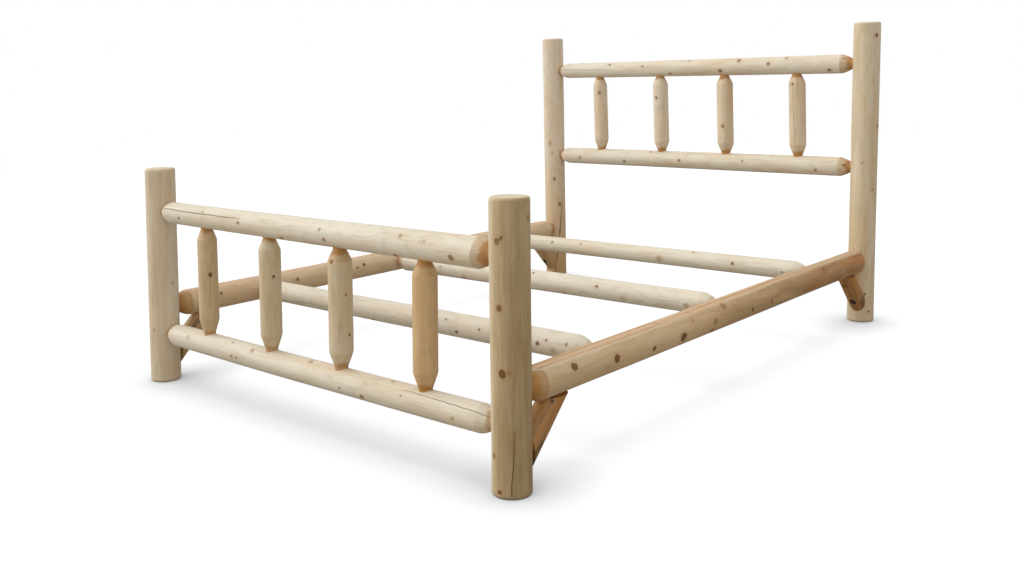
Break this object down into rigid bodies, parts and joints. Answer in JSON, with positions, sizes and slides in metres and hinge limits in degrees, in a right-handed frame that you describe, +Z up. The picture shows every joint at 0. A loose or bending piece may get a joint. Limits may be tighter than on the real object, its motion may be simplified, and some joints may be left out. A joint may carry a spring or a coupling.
{
  "type": "bed frame",
  "caption": "Rustic log bed frame: round peeled logs tenoned into tall head posts and short foot posts, with spindles, flat-topped side rails, cross slats and corner braces",
  "frame": {"origin": "on the floor, midway between the four posts", "axes": "+X to the right as seen from the foot, +Y from the foot to the head, +Z up"},
  "size_m": [1.568, 2.24, 1.143],
  "materials": {
    "peeled_cedar": "peeled and lightly sanded, unstained",
    "zinc_plated_steel": "satin zinc plate"
  },
  "bodies": {
    "root": {"foot_post_left": "peeled_cedar", "foot_post_right": "peeled_cedar", "head_post_left": "peeled_cedar", "head_post_right": "peeled_cedar", "footboard_upper_rail": "peeled_cedar", "footboard_lower_rail": "peeled_cedar", "headboard_upper_rail": "peeled_cedar", "headboard_lower_rail": "peeled_cedar", "footboard_spindle_1": "peeled_cedar", "footboard_spindle_2": "peeled_cedar", "footboard_spindle_3": "peeled_cedar", "footboard_spindle_4": "peeled_cedar", "headboard_spindle_1": "peeled_cedar", "headboard_spindle_2": "peeled_cedar", "headboard_spindle_3": "peeled_cedar", "headboard_spindle_4": "peeled_cedar", "side_rail_left": "peeled_cedar", "side_rail_right": "peeled_cedar", "cross_slat_foot": "peeled_cedar", "cross_slat_middle": "peeled_cedar", "cross_slat_head": "peeled_cedar", "corner_brace_foot_left": "peeled_cedar", "corner_brace_foot_right": "peeled_cedar", "corner_brace_head_left": "peeled_cedar", "corner_brace_head_right": "peeled_cedar", "brace_lag_screws": "zinc_plated_steel", "brace_washers": "zinc_plated_steel", "tenon_lock_screws": "zinc_plated_steel"}
  },
  "joints": []
}
